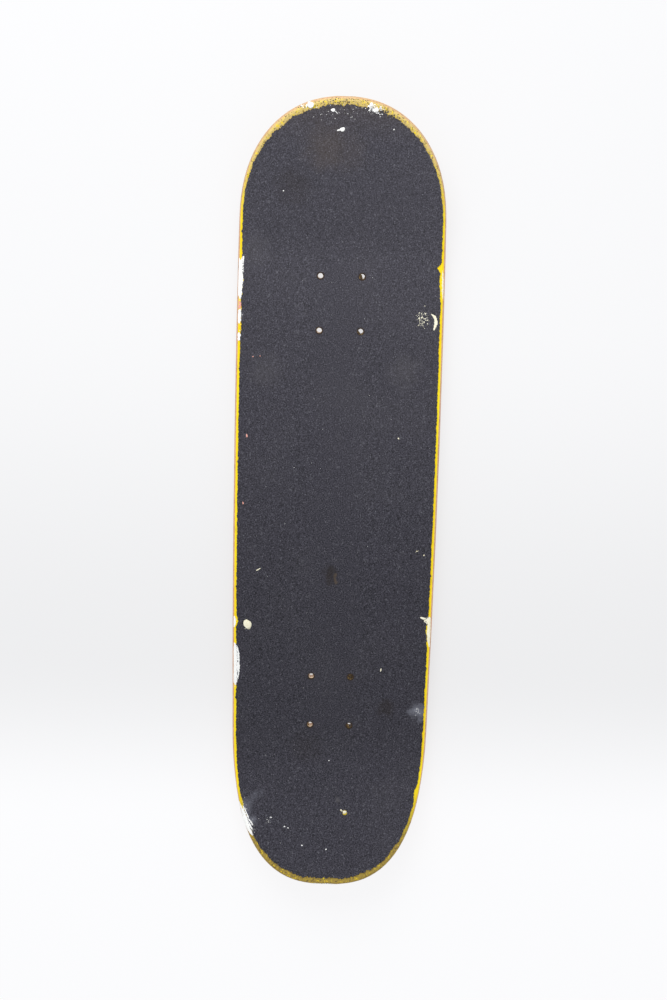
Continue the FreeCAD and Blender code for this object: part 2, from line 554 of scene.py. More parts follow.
# this white also paints a highlight along the tail's tip
WHITE_PAINT_AND_HIGHLIGHT = PlainFinish("white_paint_and_highlight", (0.97, 0.97, 0.95), (0.70, 0.69, 0.66), 0.3, 700.0, 0.6)
CREAM_FIBRE = PlainFinish("cream_fibre", (0.93, 0.90, 0.72), (0.74, 0.60, 0.26), 0.5, 700.0, 0.85)
BURNT_FIBRE = PlainFinish("burnt_fibre", (0.055, 0.035, 0.02), (0.62, 0.40, 0.16), 0.75, 420.0, 0.85)
TORN_GRIT = PlainFinish("torn_grit", (0.055, 0.053, 0.062), (0.20, 0.15, 0.06), 0.5, 600.0, 0.9)
PINK_FIBRE = PlainFinish("pink_fibre", (0.86, 0.42, 0.34), (0.60, 0.18, 0.12), 0.5, 900.0, 0.8)


class Ground:
    """What lies under a place on the deck, found by dropping a plumb line."""

    def __init__(self, *meshes: bpy.types.Mesh) -> None:
        """Takes the meshes to look for."""
        self.trees = [
            BVHTree.FromPolygons([v.co for v in mesh.vertices], [p.vertices for p in mesh.polygons])
            for mesh in meshes
        ]

    def find(self, x: float, y: float) -> tuple[Vector, Vector] | None:
        """The highest point at a place, and the way the surface faces there.

        Args:
            x: Place along the deck.
            y: Place across the deck.

        Returns:
            The point and the upward normal, or None off the deck.
        """
        best = None
        for tree in self.trees:
            point, normal, _, _ = tree.ray_cast(Vector((x, y, SKY_HEIGHT)), Vector((0.0, 0.0, -1.0)))
            if point is not None and (best is None or point.z > best[0].z):
                best = (point, normal if normal.z > 0 else -normal)
        return best

    def even(self, x: float, y: float, reach: float) -> tuple[Vector, Vector] | None:
        """Finds the surface as an average over a small cross, so that the mesh's facets don't show.

        Args:
            x: Place along the deck.
            y: Place across the deck.
            reach: How far the cross reaches.

        Returns:
            The point and the upward normal, or None off the deck.
        """
        found = [self.find(x + dx, y + dy) for dx, dy in ((0, 0), (reach, 0), (-reach, 0), (0, reach), (0, -reach))]
        if any(hit is None for hit in found):
            return self.find(x, y)
        height = sum(hit[0].z for hit in found) / len(found)
        normal = sum((hit[1] for hit in found), Vector()).normalized()
        return Vector((x, y, height)), normal


def finish_mesh(
    name: str, vertices: list[Vector], faces: list[tuple[int, ...]], material: bpy.types.Material
) -> bpy.types.Object:
    """Makes an object of a mesh that lies in its place.

    Args:
        name: The piece's name.
        vertices: Its points.
        faces: Its faces.
        material: Its finish.

    Returns:
        The object.
    """
    mesh = bpy.data.meshes.new(name)
    mesh.from_pydata(vertices, [], faces)
    mesh.materials.append(material)
    mesh.shade_smooth()
    mesh.set_sharp_from_angle(angle=SHARP_ANGLE)
    mesh.update()
    piece = bpy.data.objects.new(name, mesh)
    bpy.context.scene.collection.objects.link(piece)
    return piece


def even_steps(path: np.ndarray, step: float, closed: bool = False) -> np.ndarray:
    """Walks a line in even steps.

    Args:
        path: The line's corners.
        step: How long a step is.
        closed: Whether the line ends where it starts.

    Returns:
        A point for each step.
    """
    run = np.concatenate([[0.0], np.cumsum(np.hypot(*np.diff(path, axis=0).T))])
    marks = np.linspace(0.0, run[-1], max(4, int(run[-1] / step)), endpoint=not closed)
    return np.stack([np.interp(marks, run, path[:, i]) for i in (0, 1)], axis=1)


def place_piece(piece: bpy.types.Object, slot: str, *nodes: str) -> None:
    """Fixes a finished piece to the deck's body, hides the CAD nodes it stands for and logs its face count.

    Args:
        piece: The piece.
        slot: The material slot it would take its finish from; not used.
        nodes: The CAD nodes that it stands for.
    """
    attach(piece, BODY)
    if nodes:
        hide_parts(*nodes)
    log.info("%s: %d faces", piece.name, len(piece.data.polygons))


def start_tree(name: str, **inputs: str) -> tuple[NodeBench, bpy.types.bpy_prop_collection]:
    """Starts a Geometry Nodes tree.

    Args:
        name: The tree's name.
        inputs: The kind of each named input after the geometry, with underscores for spaces.

    Returns:
        The tree's bench and what it is given.
    """
    tree = bpy.data.node_groups.new(name, "GeometryNodeTree")
    for title, kind in (("Geometry", "Geometry"), *inputs.items()):
        tree.interface.new_socket(title.replace("_", " "), in_out="INPUT", socket_type="NodeSocket" + kind)
    tree.interface.new_socket("Geometry", in_out="OUTPUT", socket_type="NodeSocketGeometry")
    bench = NodeBench(tree)
    return bench, bench.add("NodeGroupInput").outputs


def roughened(bench: NodeBench, shape: Socket, scale: float, reach: tuple[float, float, float]) -> Socket:
    """A shape with its points shifted by noise.

    Args:
        bench: The bench to build on.
        shape: The shape.
        scale: How fine the noise is.
        reach: How far it shifts a point along each axis.

    Returns:
        The uneven shape.
    """
    rough = bench.add("ShaderNodeTexNoise", Scale=scale, Detail=2.0)
    offset = bench.vector("MULTIPLY", bench.vector("SUBTRACT", rough.outputs["Color"], (0.5, 0.5, 0.5)), reach)
    return bench.add("GeometryNodeSetPosition", Geometry=shape, Offset=offset).outputs[0]


def end_tree(bench: NodeBench, shape: Socket, material: Socket) -> bpy.types.NodeTree:
    """Gives the shape its material and ends the tree.

    Args:
        bench: The tree's bench.
        shape: The finished shape.
        material: Its material.

    Returns:
        The tree.
    """
    painted = bench.add("GeometryNodeSetMaterial", Geometry=shape, Material=material)
    bench.add("NodeGroupOutput", i0=painted.outputs[0])
    return bench.tree


@dataclass(frozen=True)
class Tear:
    """A bite out of the grip tape's border.

    Attributes:
        x: Its middle along the deck, in millimetres.
        side: 1 on the left rail and -1 on the right.
        length: How long it is.
        depth: How far in it reaches.
        power: 1 is a sharp notch and 4 a square one.
    """

    x: float
    side: int
    length: float
    depth: float
    power: float = 2.0

    def bite(self, x: float, y: float) -> float:
        """How far the border is torn in at a place, in metres.

        Args:
            x: Place along the deck, in metres.
            y: Place across the deck.

        Returns:
            The depth of the tear there.
        """
        away = abs(x / MM - self.x) / (self.length / 2)
        if y * self.side < 0 or away >= 1.0:
            return 0.0
        return self.depth * MM * (1.0 - away**self.power)


@dataclass
class GripTape:
    """The sheet of grip tape: ragged at its border, torn in places and punched for the bolts."""

    thickness: float = 0.85 * MM
    smoothing: float = 4.0 * MM
    border_step: float = 1.0 * MM
    inner_step: float = 6.0 * MM
    clear_of_border: float = 2.2 * MM
    rag: float = 0.55 * MM
    fray: float = 0.34 * MM
    wave_scale: float = 90.0
    ripple_scale: float = 350.0
    tip_start: float = 0.33
    tip_length: float = 0.06
    tip_growth: float = 1.4
    ring_step: float = 0.9 * MM
    punch_radius: float = 3.0 * MM
    seed: int = 11
    tears: tuple[Tear, ...] = (
        Tear(-117.0, -1, 6.0, 4.0, 1.0),
        Tear(-131.0, -1, 32.0, 1.2, 3.0),
        Tear(242.0, -1, 10.0, 3.4, 1.2),
        Tear(226.0, -1, 34.0, 1.0, 3.0),
        Tear(-304.0, -1, 17.0, 3.0, 1.6),
        Tear(226.0, 1, 42.0, 1.0, 4.0),
        Tear(187.0, 1, 36.0, 0.6, 3.0),
        Tear(-171.0, 1, 46.0, 1.0, 3.0),
        Tear(-124.0, 1, 12.0, 1.8, 2.0),
        Tear(-332.0, 1, 34.0, 1.0, 2.0),
    )
    nicks: tuple[Mark, ...] = (
        Mark(-45.3, -85.1, 0.9),
        Mark(-48.7, -92.3, 0.9),
        Mark(-327.6, -18.6, 2.5),
        Mark(-325.2, -14.6, 1.2),
    )
    bolt_holes: list[tuple[float, float]] = field(default_factory=bolt_places)

    def border(self, picker: random.Random) -> np.ndarray:
        """The ragged outline, once round.

        Args:
            picker: What its unevenness is drawn from.

        Returns:
            The outline's points in order.
        """
        points = [v.co.to_2d() for v in frame["nodes"]["grip_tape"].data.vertices]
        hull = np.array([points[i] for i in convex_hull_2d(points)])
        even = even_steps(np.vstack([hull, hull[:1]]), self.border_step, closed=True)
        along = np.roll(even, -2, axis=0) - np.roll(even, 2, axis=0)
        inward = np.stack([-along[:, 1], along[:, 0]], axis=1) / np.hypot(*along.T)[:, None]
        turn = 1.0 if np.dot(inward[0], -even[0]) > 0 else -1.0
        ragged = []
        for (x, y), direction in zip(even, inward * turn):
            wave = noise.noise(Vector((x * self.wave_scale, y * self.wave_scale, 3.0)))
            wave += noise.noise(Vector((x * self.ripple_scale, y * self.ripple_scale, 9.0)))
            ends = 1.0 + self.tip_growth * max(0.0, (abs(x) - self.tip_start) / self.tip_length)
            depth = (self.rag * (0.3 + wave) + self.fray * picker.uniform(-1, 1)) * ends
            depth += sum(tear.bite(x, y) * (1 + 0.5 * wave) for tear in self.tears)
            ragged.append((x + direction[0] * depth, y + direction[1] * depth))
        return np.array(ragged)

    def ring(self, x: float, y: float, radius: float, picker: random.Random) -> np.ndarray:
        """A rough round hole's outline.

        Args:
            x: The hole's place along the deck.
            y: Its place across the deck.
            radius: Its radius.
            picker: What its unevenness is drawn from.

        Returns:
            The outline's points in order.
        """
        count = max(8, int(2 * math.pi * radius / self.ring_step))
        turns = [2 * math.pi * i / count for i in range(count)]
        radii = [radius * picker.uniform(0.9, 1.13) for _ in turns]
        return np.array([(x + r * math.cos(a), y + r * math.sin(a)) for a, r in zip(turns, radii)])

    @staticmethod
    def inside(points: np.ndarray, loop: np.ndarray) -> np.ndarray:
        """Which points lie inside a closed loop.

        Args:
            points: The points.
            loop: The loop's points in order.

        Returns:
            True for each point that lies inside.
        """
        x, y = points[:, :1], points[:, 1:]
        x0, y0 = loop.T
        x1, y1 = np.roll(loop, -1, axis=0).T
        crosses = (y0 > y) != (y1 > y)
        rise = np.where(y1 == y0, 1.0, y1 - y0)
        left = x < x0 + (y - y0) * (x1 - x0) / rise
        return (crosses & left).sum(axis=1) % 2 == 1

    def within(self, points: np.ndarray, loops: list[np.ndarray]) -> np.ndarray:
        """Which points lie inside the first loop and outside the others.

        Args:
            points: The points.
            loops: The border, then the outline of each hole.

        Returns:
            True for each point that lies on the sheet.
        """
        kept = self.inside(points, loops[0])
        for loop in loops[1:]:
            kept &= ~self.inside(points, loop)
        return kept

    def cut_sheet(self, loops: list[np.ndarray]) -> tuple[np.ndarray, list[tuple[int, int, int]], list[bool]]:
        """Fills the flat sheet with triangles.

        Args:
            loops: The border, then the outline of each hole.

        Returns:
            The sheet's points, its triangles, and whether each point is on a loop.
        """
        (left, right), (low, high) = zip(loops[0].min(axis=0), loops[0].max(axis=0))
        rows = np.arange(low, high, self.inner_step)
        grid = np.array([(x, y) for x in np.arange(left, right, self.inner_step) for y in rows])
        kept = self.within(grid, loops)
        for loop in loops:
            gap = np.hypot(grid[:, None, 0] - loop[None, :, 0], grid[:, None, 1] - loop[None, :, 1]).min(axis=1)
            kept &= gap > self.clear_of_border
        points, edges = [], []
        for loop in loops:
            first = len(points)
            points += [Vector(p) for p in loop]
            edges += [(first + i, first + (i + 1) % len(loop)) for i in range(len(loop))]
        border_count = len(points)
        points += [Vector(p) for p in grid[kept]]
        flat, _, triangles, sources, _, _ = delaunay_2d_cdt(points, edges, [], 0, 1e-7)
        spots = np.array([p[:] for p in flat])
        wanted = self.within(spots[np.array(triangles)].mean(axis=1), loops)
        at_border = [bool(origin) and origin[0] < border_count for origin in sources]
        return spots, [tuple(t) for t, keep in zip(triangles, wanted) if keep], at_border

    def build(self, wood: Ground, material: bpy.types.Material) -> bpy.types.Object:
        """Makes the sheet.

        Args:
            wood: The wood that it is stuck to.
            material: Its finish.

        Returns:
            The object.
        """
        picker = random.Random(self.seed)
        outline = self.border(picker)
        holes = [self.ring(x, y, self.punch_radius, picker) for x, y in self.bolt_holes]
        holes += [self.ring(m.x * MM, m.y * MM, m.reach * MM, picker) for m in self.nicks]
        spots, triangles, at_border = self.cut_sheet([outline] + holes)
        bottom, top = [], []
        for (x, y), by_border in zip(spots, at_border):
            point, normal = wood.find(x, y) if by_border else wood.even(x, y, self.smoothing)
            bottom.append(point)
            top.append(point + normal * self.thickness)
        count = len(spots)
        faces = triangles + [(a + count, c + count, b + count) for a, b, c in triangles]
        rims: dict[tuple[int, int], bool] = {}
        for a, b, c in triangles:
            for edge in ((a, b), (b, c), (c, a)):
                if not rims.pop(edge[::-1], False):
                    rims[edge] = True
        faces += [(b, a, a + count, b + count) for a, b in rims]
        return finish_mesh("grip_sheet", top + bottom, faces, material)


@dataclass(frozen=True)
class Stroke:
    """A thin smear of paint, strip of fibre or stroke of painted highlight.

    Attributes:
        path: Its line, as places in millimetres.
        width: How wide it is at its middle.
        rough: How uneven its sides are, as a share of the width.
    """

    path: tuple[tuple[float, float], ...]
    width: float
    rough: float = 0.5


@dataclass
class Smears:
    """A set of thin strokes of one finish, laid on whatever is under them."""

    name: str
    strokes: tuple[Stroke, ...]
    finish: PlainFinish
    slot: str
    thickness: float = 0.22 * MM
    step: float = 0.8 * MM
    sink: float = 0.10 * MM
    draw_back: float = 0.25 * MM
    steepest: float = 0.45
    side_lift: float = 0.25
    lanes: tuple[float, ...] = (-1.0, -0.6, -0.2, 0.2, 0.6, 1.0)
    seed: int = 5

    def build(self, ground: Ground) -> bpy.types.Object:
        """Makes the strokes as one piece.

        Args:
            ground: What they are laid on.

        Returns:
            The object.
        """
        picker = random.Random(self.seed)
        vertices: list[Vector] = []
        faces: list[tuple[int, ...]] = []
        for stroke in self.strokes:
            line = even_steps(np.array(stroke.path) * MM, self.step)
            along = np.gradient(line, axis=0)
            along /= np.hypot(*along.T)[:, None]
            rows = []
            for i, (spot, (dx, dy)) in enumerate(zip(line, along)):
                swell = math.sin(math.pi * (i + 0.5) / len(line)) ** 0.5
                row = []
                for share in self.lanes:
                    half = stroke.width * MM / 2 * swell * (1 + stroke.rough * picker.uniform(-1, 1))
                    hit = None
                    while half > 0 and (hit is None or hit[1].z < self.steepest):
                        hit = ground.find(spot[0] - dy * half * share, spot[1] + dx * half * share)
                        half -= self.draw_back
                    if hit is None:
                        break
                    row.append((hit[0], hit[1], self.side_lift if abs(share) == 1.0 else 1.0))
                if len(row) == len(self.lanes):
                    rows.append(row)
            if len(rows) < 3:
                continue
            first, loop = len(vertices), 2 * len(self.lanes)
            for row in rows:
                vertices += [point + normal * self.thickness * lift for point, normal, lift in row]
                vertices += [point - normal * self.sink for point, normal, _ in reversed(row)]
            for i in range(len(rows) - 1):
                a, b = first + i * loop, first + (i + 1) * loop
                faces += [(a + j, b + j, b + (j + 1) % loop, a + (j + 1) % loop) for j in range(loop)]
            last = first + (len(rows) - 1) * loop
            faces.append(tuple(first + j for j in range(loop)))
            faces.append(tuple(last + j for j in reversed(range(loop))))
        piece = finish_mesh(self.name, vertices, faces, self.finish.build())
        place_piece(piece, self.slot)
        return piece


@dataclass(frozen=True)
class Scatter:
    """A cloud of drops: its middle, its reach along and across, how many, and their largest size, in millimetres."""

    x: float
    y: float
    along: float
    across: float
    count: int
    size: float


@dataclass
class Drops:
    """Dried drops of paint, set out by Geometry Nodes on points that lie on the deck."""

    name: str
    clouds: tuple[Scatter, ...]
    finish: PlainFinish
    slot: str
    flatness: float = 0.16
    headroom: float = 0.3
    spread: float = 0.45
    steepest: float = 0.6
    small_share: float = 1.6
    tilt: float = 0.15
    seed: int = 23

    def points(self, ground: Ground) -> tuple[list[Vector], list[float]]:
        """The drops' places and sizes.

        Args:
            ground: What they lie on.

        Returns:
            The places, and the sizes in the same order.
        """
        picker = random.Random(self.seed)
        places, sizes = [], []
        for cloud in self.clouds:
            for _ in range(cloud.count):
                x = cloud.x + cloud.along * picker.gauss(0.0, self.spread)
                y = cloud.y + cloud.across * picker.gauss(0.0, self.spread)
                hit = ground.find(x * MM, y * MM)
                size = cloud.size * MM
                if cloud.count > 1:
                    size = cloud.size * picker.uniform(0.25, 1.0) ** self.small_share * MM
                if hit and hit[1].z > self.steepest and hit[0].z + self.headroom * size < CAD_BOX[1][2]:
                    places.append(hit[0])
                    sizes.append(size)
        return places, sizes

    def tree(self) -> bpy.types.NodeTree:
        """The nodes: a rough flat drop on each point, turned at random and scaled by the point's own size.

        Returns:
            The tree.
        """
        bench, given = start_tree(self.name + "_nodes", Flatness="Float", Material="Material")
        ball = bench.add("GeometryNodeMeshIcoSphere", Radius=1.0, Subdivisions=2)
        uneven = roughened(bench, ball.outputs["Mesh"], 1.3, (1.0, 1.0, 1.0))
        size = bench.add("GeometryNodeInputNamedAttribute", Name="drop_size").outputs["Attribute"]
        spin = bench.add("FunctionNodeRandomValue", {"data_type": "FLOAT_VECTOR"}, Seed=self.seed)
        spin.inputs[0].default_value = (-self.tilt, -self.tilt, 0.0)
        spin.inputs[1].default_value = (self.tilt, self.tilt, 2 * math.pi)
        low = bench.math("MULTIPLY", size, given["Flatness"])
        scale = bench.add("ShaderNodeCombineXYZ", X=size, Y=size, Z=low).outputs[0]
        drops = {"Instance": uneven, "Rotation": spin.outputs[0], "Scale": scale}
        setting = bench.add("GeometryNodeInstanceOnPoints", Points=given["Geometry"], **drops)
        solid = bench.add("GeometryNodeRealizeInstances", Geometry=setting.outputs[0])
        return end_tree(bench, solid.outputs[0], given["Material"])

    def build(self, ground: Ground) -> bpy.types.Object:
        """Makes the drops as one piece.

        Args:
            ground: What they lie on.

        Returns:
            The object.
        """
        places, sizes = self.points(ground)
        values = {"Flatness": self.flatness, "Material": self.finish.build()}
        piece = grown(self.name, self.tree(), values, places, sizes)
        place_piece(piece, self.slot)
        return piece


def grown(
    name: str,
    tree: bpy.types.NodeTree,
    values: dict[str, object],
    places: list[Vector],
    sizes: list[float] | None = None,
) -> bpy.types.Object:
    """Runs a Geometry Nodes tree once on a set of points and keeps its result as a plain mesh.

    Args:
        name: The finished piece's name.
        tree: The tree.
        values: Its named inputs.
        places: The points.
        sizes: How large the shape is at each point, if the tree asks.

    Returns:
        The finished object.
    """
    points = bpy.data.meshes.new(name + "_points")
    points.from_pydata(places, [], [])
    if sizes:
        points.attributes.new("drop_size", "FLOAT", "POINT").data.foreach_set("value", sizes)
    source = bpy.data.objects.new(name + "_source", points)
    bpy.context.scene.collection.objects.link(source)
    modifier = source.modifiers.new("nodes", "NODES")
    modifier.node_group = tree
    for item in tree.interface.items_tree:
        if item.in_out == "INPUT" and item.name in values:
            modifier[item.identifier] = values[item.name]
    source.update_tag()
    bpy.context.view_layer.update()
    evaluated = source.evaluated_get(bpy.context.evaluated_depsgraph_get())
    mesh = bpy.data.meshes.new_from_object(evaluated)
    mesh.name = name
    if not mesh.materials or mesh.materials[0] is None:
        mesh.materials.clear()
        mesh.materials.append(values["Material"])
    mesh.shade_smooth()
    bpy.data.objects.remove(source)
    piece = bpy.data.objects.new(name, mesh)
    bpy.context.scene.collection.objects.link(piece)
    return piece


@dataclass
class HoleLips:
    """The crushed fibre that bolt heads leave round each hole, set out by Geometry Nodes."""

    places: list[tuple[float, float]]
    ring_radius: float = 2.95 * MM
    thickness: float = 0.36 * MM
    unevenness: tuple[float, float, float] = (0.7 * MM, 0.7 * MM, 0.3 * MM)

    def tree(self) -> bpy.types.NodeTree:
        """The nodes: a roughened ring on each point.

        Returns:
            The tree.
        """
        bench, given = start_tree("hole_lip_nodes", Ring_Radius="Float", Thickness="Float", Material="Material")
        rail = bench.add("GeometryNodeCurvePrimitiveCircle", Resolution=40, Radius=given["Ring Radius"])
        bead = bench.add("GeometryNodeCurvePrimitiveCircle", Resolution=8, Radius=given["Thickness"])
        ring = bench.add("GeometryNodeCurveToMesh", Curve=rail.outputs[0], Profile_Curve=bead.outputs[0])
        setting = bench.add("GeometryNodeInstanceOnPoints", Points=given["Geometry"], Instance=ring.outputs[0])
        solid = bench.add("GeometryNodeRealizeInstances", Geometry=setting.outputs[0])
        uneven = roughened(bench, solid.outputs[0], 900.0, self.unevenness)
        return end_tree(bench, uneven, given["Material"])

    def build(self, wood: Ground) -> bpy.types.Object:
        """Makes the lips as one piece.

        Args:
            wood: The wood that the holes go through.

        Returns:
            The object.
        """
        edge = self.ring_radius + self.thickness
        spots = [Vector((x, y, wood.find(x + edge, y)[0].z)) for x, y in self.places]
        values = {"Ring Radius": self.ring_radius, "Thickness": self.thickness, "Material": BURNT_FIBRE.build()}
        piece = grown("hole_lips", self.tree(), values, spots)
        place_piece(piece, "top_veneer")
        return piece


@dataclass(frozen=True)
class Plug:
    """A crumb of torn fibre stuck in a bolt hole.

    Attributes:
        end: 1 for the nose's holes and -1 for the tail's.
        outer: Whether it is in the row nearer the tip.
        side: 1 for the left column and -1 for the right.
        from_turn: Where along the wall it starts, in degrees from +X.
        to_turn: Where it ends.
        depth: How far down it sits, in millimetres.
    """

    end: int
    outer: bool
    side: int
    from_turn: float
    to_turn: float
    depth: float


@dataclass
class HolePlugs:
    """The crumbs that half close some of the bolt holes."""

    places: list[tuple[float, float]]
    plugs: tuple[Plug, ...] = (
        Plug(1, True, -1, 20.0, 205.0, 1.6),
        Plug(1, True, -1, 190.0, 260.0, 2.4),
        Plug(1, False, -1, 60.0, 190.0, 1.8),
        Plug(-1, False, -1, -20.0, 200.0, 1.5),
        Plug(-1, False, -1, 180.0, 350.0, 2.2),
        Plug(-1, True, -1, 40.0, 190.0, 1.8),
        Plug(-1, True, 1, 60.0, 160.0, 2.0),
    )
    radius: float = 2.75 * MM
    thickness: float = 0.6 * MM
    ragged: float = 0.35 * MM
    arc_steps: int = 12
    seed: int = 41

    def hole(self, plug: Plug) -> tuple[float, float]:
        """The middle of the plug's hole.

        Args:
            plug: The plug.

        Returns:
            The hole's place along and across the deck.
        """
        end = sorted((p for p in self.places if p[0] * plug.end > 0), key=lambda p: abs(p[0]))
        row = end[2:] if plug.outer else end[:2]
        return next(p for p in row if p[1] * plug.side > 0)

    def build(self, wood: Ground) -> bpy.types.Object:
        """Makes the crumbs as one piece.

        Args:
            wood: The wood that the holes go through.

        Returns:
            The object.
        """
        picker = random.Random(self.seed)
        vertices: list[Vector] = []
        faces: list[tuple[int, ...]] = []
        for plug in self.plugs:
            x, y = self.hole(plug)
            z = wood.find(x + 2 * self.radius, y)[0].z - plug.depth * MM
            start, end = math.radians(plug.from_turn), math.radians(plug.to_turn)
            turns = [start + (end - start) * i / self.arc_steps for i in range(self.arc_steps + 1)]
            loop = [Vector((x + self.radius * math.cos(a), y + self.radius * math.sin(a), z)) for a in turns]
            ends = loop[-1], loop[0]
            for i in range(1, self.arc_steps):
                torn = [picker.uniform(-self.ragged, self.ragged) for _ in range(2)]
                loop.append(ends[0].lerp(ends[1], i / self.arc_steps) + Vector((*torn, 0.0)))
            first, count = len(vertices), len(loop)
            vertices += loop + [point - Vector((0.0, 0.0, self.thickness)) for point in loop]
            faces.append(tuple(first + i for i in range(count)))
            faces.append(tuple(first + count + i for i in reversed(range(count))))
            faces += [
                (first + (i + 1) % count, first + i, first + count + i, first + count + (i + 1) % count)
                for i in range(count)
            ]
        piece = finish_mesh("hole_crumbs", vertices, faces, BURNT_FIBRE.build())
        place_piece(piece, "top_veneer")
        return piece


@dataclass
class Veneers:
    """The seven pressed veneers, which keep their CAD shapes and get their finishes here."""

    finishes: tuple[VeneerFinish, ...] = (
        VeneerFinish("top_veneer", (1.0, 0.79, 0.012), (0.97, 0.66, 0.006), Grain.ALONG, 0.32, 0.92),
        VeneerFinish("upper_crossband", (0.80, 0.48, 0.29), (0.60, 0.29, 0.16), Grain.ACROSS, 0.4, 0.6),
        VeneerFinish("upper_core", (0.78, 0.56, 0.33), (0.62, 0.40, 0.20), Grain.ALONG, 0.45, 0.5),
        VeneerFinish("centre_core", (0.70, 0.24, 0.20), (0.52, 0.14, 0.11), Grain.ALONG, 0.4, 0.4),
        VeneerFinish("lower_core", (0.78, 0.56, 0.33), (0.62, 0.40, 0.20), Grain.ALONG, 0.45, 0.5),
        VeneerFinish("lower_crossband", (0.70, 0.48, 0.27), (0.50, 0.30, 0.14), Grain.ACROSS, 0.5, 0.5),
    )

    def dress(self) -> None:
        """Gives each veneer its finish."""
        for finish in self.finishes:
            self.paint(finish.name, finish.build())
        self.paint("bottom_veneer", UndersideFinish().build())

    @staticmethod
    def paint(node: str, material: bpy.types.Material) -> None:
        """Puts one material on a CAD node.

        Args:
            node: The node's name.
            material: Its material.
        """
        mesh = frame["nodes"][node].data
        mesh.materials.clear()
        mesh.materials.append(material)
        log.info("%s: %s", node, material.name)


@dataclass
class Studio:
    """The pale self-lit table, the soft sky, the light by the nose and the camera."""

    table_side: float = 14.0
    table_drop: float = 0.0002
    table_colour: Colour = (0.20, 0.20, 0.20)
    far_glow: float = 0.735
    middle_glow: float = 0.665
    near_glow: float = 0.80
    sky: Colour = (0.97, 0.985, 1.0)
    sky_strength: float = 0.74
    glow: Colour = (0.985, 0.985, 1.0)
    far_fade: tuple[float, float] = (-0.15, 0.20)
    near_fade: tuple[float, float] = (-0.17, -0.36)
    lamp_place: tuple[float, float, float] = (1.25, 0.25, 1.15)
    lamp_side: float = 1.1
    lamp_power: float = 17.0
    camera_place: tuple[float, float, float] = (0.2964, -0.0033, 1.4026)
    camera_turn: tuple[float, float, float] = (-11.821, 0.525, -88.531)
    lens: float = 50.0
    sensor: float = 36.0

    def table(self) -> None:
        """Makes the table top."""
        half = self.table_side / 2
        corners = [(a * half, b * half, -self.table_drop) for a, b in ((-1, -1), (1, -1), (1, 1), (-1, 1))]
        material, bench, shader, place = new_material("pale_table")
        shader.inputs["Base Color"].default_value = (*self.table_colour, 1.0)
        shader.inputs["Roughness"].default_value = 1.0
        shader.inputs["Specular IOR Level"].default_value = 0.0
        shader.inputs["Emission Color"].default_value = (*self.glow, 1.0)
        along = bench.along(place)
        far = bench.ramp(along, *self.far_fade, self.middle_glow, self.far_glow)
        near = bench.ramp(along, *self.near_fade, 0.0, self.near_glow - self.middle_glow)
        bench.tree.links.new(bench.math("ADD", far, near), shader.inputs["Emission Strength"])
        mesh = bpy.data.meshes.new("table_top")
        mesh.from_pydata(corners, [], [(0, 1, 2, 3)])
        mesh.materials.append(material)
        top = bpy.data.objects.new("table_top", mesh)
        bpy.context.scene.collection.objects.link(top)

    def light(self) -> None:
        """Makes the sky and the lamp."""
        world = bpy.data.worlds.new("soft_sky")
        world.use_nodes = True
        background = world.node_tree.nodes["Background"]
        background.inputs["Color"].default_value = (*self.sky, 1.0)
        background.inputs["Strength"].default_value = self.sky_strength
        bpy.context.scene.world = world
        data = bpy.data.lights.new("nose_lamp", "AREA")
        data.size = self.lamp_side
        data.energy = self.lamp_power
        lamp = bpy.data.objects.new("nose_lamp", data)
        lamp.location = self.lamp_place
        lamp.rotation_euler = (-Vector(self.lamp_place)).to_track_quat("-Z", "Y").to_euler()
        bpy.context.scene.collection.objects.link(lamp)

    def camera(self) -> None:
        """Makes the camera."""
        data = bpy.data.cameras.new("camera")
        data.lens = self.lens
        data.sensor_width = self.sensor
        camera = bpy.data.objects.new("camera", data)
        camera.location = self.camera_place
        camera.rotation_euler = [math.radians(angle) for angle in self.camera_turn]
        bpy.context.scene.collection.objects.link(camera)
        bpy.context.scene.camera = camera

    def build(self) -> None:
        """Makes the whole studio."""
        self.table()
        self.light()
        self.camera()
        bpy.context.scene.view_settings.view_transform = "Standard"


PAINT_AND_HIGHLIGHT_STROKES = (
    Stroke(((249, 96.2), (244, 98.0), (236, 98.8), (222, 99.2), (207, 99.4)), 5.4, 0.18),
    Stroke(((247, 100.8), (232, 101.2), (210, 101.4)), 4.0, 0.2),
    Stroke(((197, 99.8), (190, 99.8), (183, 100.2)), 4.0, 0.4),
    Stroke(((174, 100.2), (171, 100.0), (166, 100.4)), 3.4, 0.5),
    Stroke(((-148, 101.6), (-152, 99.0), (-160, 98.2), (-172, 98.0), (-184, 98.4), (-194, 99.8)), 5.4, 0.15),
    Stroke(((-150, 100.8), (-160, 100.2), (-176, 100.0), (-192, 101.0)), 4.8, 0.15),
    Stroke(((-151, 99.8), (-160, 99.2), (-176, 99.0), (-192, 100.2)), 3.4, 0.1),
    # painted highlight: a white stroke along the tail's tip stands in for light on that rim
    Stroke(((-397.4, 15.0), (-397.8, 4.0), (-397.6, -9.0)), 1.3, 0.8),
    Stroke(((-119, 101.8), (-125, 101.4), (-131, 101.8)), 3.4, 0.4),
    Stroke(((-314, 97.6), (-323, 94.0), (-332, 89.8), (-341, 84.8), (-351, 77.4)), 5.4, 0.25),
    Stroke(((-319, 93.4), (-329, 88.4), (-339, 82.6), (-345, 78.2)), 3.6, 0.5),
    Stroke(((-322, 89.0), (-331, 84.0), (-336, 82.0)), 1.2, 0.9),
    Stroke(((-333, 83.6), (-341, 77.6)), 1.0, 0.9),
    Stroke(((370.2, 2.8), (369.2, 5.2), (368.6, 7.6)), 1.5, 0.4),
    Stroke(((387.0, 11.0), (385.5, 9.0), (383.5, 7.0)), 0.7, 0.6),
)
